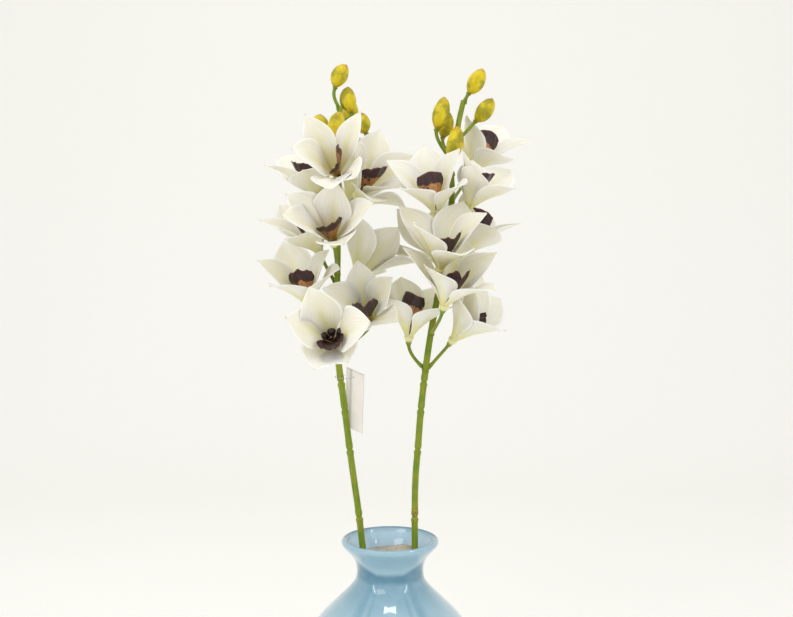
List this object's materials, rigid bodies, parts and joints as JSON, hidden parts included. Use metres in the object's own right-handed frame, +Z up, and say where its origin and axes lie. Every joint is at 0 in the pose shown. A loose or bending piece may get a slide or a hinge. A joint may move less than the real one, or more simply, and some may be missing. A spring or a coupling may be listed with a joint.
{
  "type": "potted orchid",
  "caption": "Pair of tall cymbidium orchid sprays with cupped flowers, dark lips and closed buds, standing in sand in a narrow-necked blue glass vase.",
  "frame": {"origin": "centre of the vase's foot, on the surface that it stands on", "axes": "+Z up along the vase, -Y towards the front, +X to the right seen from the front"},
  "size_m": [0.2763, 0.2336, 0.7084],
  "materials": {
    "glass": "pale blue cased glass, glossy",
    "sand": "pale beige sand, matt",
    "stem": "green, satin, with paler joints",
    "petal": "cream white, soft matt",
    "lip": "dark maroon over tan, satin",
    "bud": "yellow with olive shading, satin",
    "card": "plain warm white card",
    "loop": "clear thin plastic"
  },
  "bodies": {
    "root": {"vase": "glass", "fill": "sand", "stem_left": "stem", "stem_right": "stem", "flower_left_01": "petal", "flower_left_02": "petal", "flower_left_03": "petal", "flower_left_04": "petal", "flower_left_05": "petal", "flower_left_06": "petal", "flower_left_07": "petal", "flower_left_08": "petal", "flower_left_09": "petal", "flower_left_10": "petal", "flower_right_01": "petal", "flower_right_02": "petal", "flower_right_03": "petal", "flower_right_04": "petal", "flower_right_05": "petal", "flower_right_06": "petal", "flower_right_07": "petal", "flower_right_08": "petal", "flower_right_09": "petal", "lip_left_01": "lip", "lip_left_02": "lip", "lip_left_03": "lip", "lip_left_04": "lip", "lip_left_05": "lip", "lip_left_06": "lip", "lip_left_07": "lip", "lip_left_08": "lip", "lip_left_09": "lip", "lip_left_10": "lip", "lip_right_01": "lip", "lip_right_02": "lip", "lip_right_03": "lip", "lip_right_04": "lip", "lip_right_05": "lip", "lip_right_06": "lip", "lip_right_07": "lip", "lip_right_08": "lip", "lip_right_09": "lip", "bud_left_01": "bud", "bud_left_02": "bud", "bud_left_03": "bud", "bud_left_04": "bud", "bud_left_05": "bud", "bud_left_06": "bud", "bud_right_01": "bud", "bud_right_02": "bud", "bud_right_03": "bud", "bud_right_04": "bud", "bud_right_05": "bud", "hang_tag": "card", "tag_loop": "loop"}
  },
  "joints": []
}
